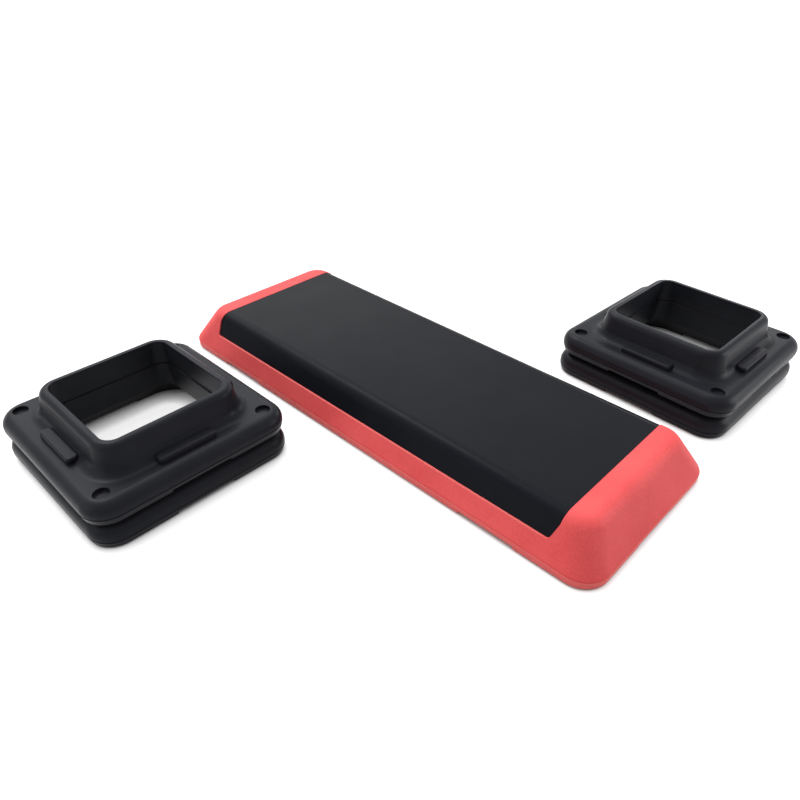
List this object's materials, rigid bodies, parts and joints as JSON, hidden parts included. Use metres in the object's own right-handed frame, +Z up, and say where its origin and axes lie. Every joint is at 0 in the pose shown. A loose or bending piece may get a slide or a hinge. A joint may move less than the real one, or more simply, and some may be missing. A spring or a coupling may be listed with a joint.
{
  "type": "aerobic step platform",
  "caption": "Low rectangular aerobic step platform with a rubber mat, beside stacked square risers whose collars fit under it to raise it.",
  "frame": {"origin": "on the floor under the middle of the whole set", "axes": "+X along the platform's long side, +Y across it towards the right stack, +Z up"},
  "size_m": [1.092, 1.3676, 0.1484],
  "materials": {
    "shell_plastic": "matte, fine grain",
    "mat_rubber": "matte, fine grain",
    "riser_plastic": "satin",
    "foot_rubber": "matte"
  },
  "bodies": {
    "platform": {"platform_shell": "shell_plastic", "platform_mat": "mat_rubber", "platform_foot_1": "foot_rubber", "platform_foot_2": "foot_rubber", "platform_foot_3": "foot_rubber", "platform_foot_4": "foot_rubber", "platform_foot_5": "foot_rubber", "platform_foot_6": "foot_rubber", "platform_foot_7": "foot_rubber", "platform_foot_8": "foot_rubber"},
    "left_lower": {"left_lower_riser": "riser_plastic", "left_lower_foot_1": "foot_rubber", "left_lower_foot_2": "foot_rubber", "left_lower_foot_3": "foot_rubber", "left_lower_foot_4": "foot_rubber"},
    "left_upper": {"left_upper_riser": "riser_plastic", "left_upper_foot_1": "foot_rubber", "left_upper_foot_2": "foot_rubber", "left_upper_foot_3": "foot_rubber", "left_upper_foot_4": "foot_rubber"},
    "right_lower": {"right_lower_riser": "riser_plastic", "right_lower_foot_1": "foot_rubber", "right_lower_foot_2": "foot_rubber", "right_lower_foot_3": "foot_rubber", "right_lower_foot_4": "foot_rubber"},
    "right_upper": {"right_upper_riser": "riser_plastic", "right_upper_foot_1": "foot_rubber", "right_upper_foot_2": "foot_rubber", "right_upper_foot_3": "foot_rubber", "right_upper_foot_4": "foot_rubber"}
  },
  "joints": [
    {"name": "left_stack_slide", "type": "slide", "parent": "platform", "child": "left_lower", "axis": [0, 1, 0], "range_m": [-0.2, 0.07]},
    {"name": "left_upper_lift", "type": "slide", "parent": "left_lower", "child": "left_upper", "axis": [0, 0, 1], "range_m": [0, 0.12]},
    {"name": "right_stack_slide", "type": "slide", "parent": "platform", "child": "right_lower", "axis": [0, -1, 0], "range_m": [-0.2, 0.07]},
    {"name": "right_upper_lift", "type": "slide", "parent": "right_lower", "child": "right_upper", "axis": [0, 0, 1], "range_m": [0, 0.12]}
  ]
}
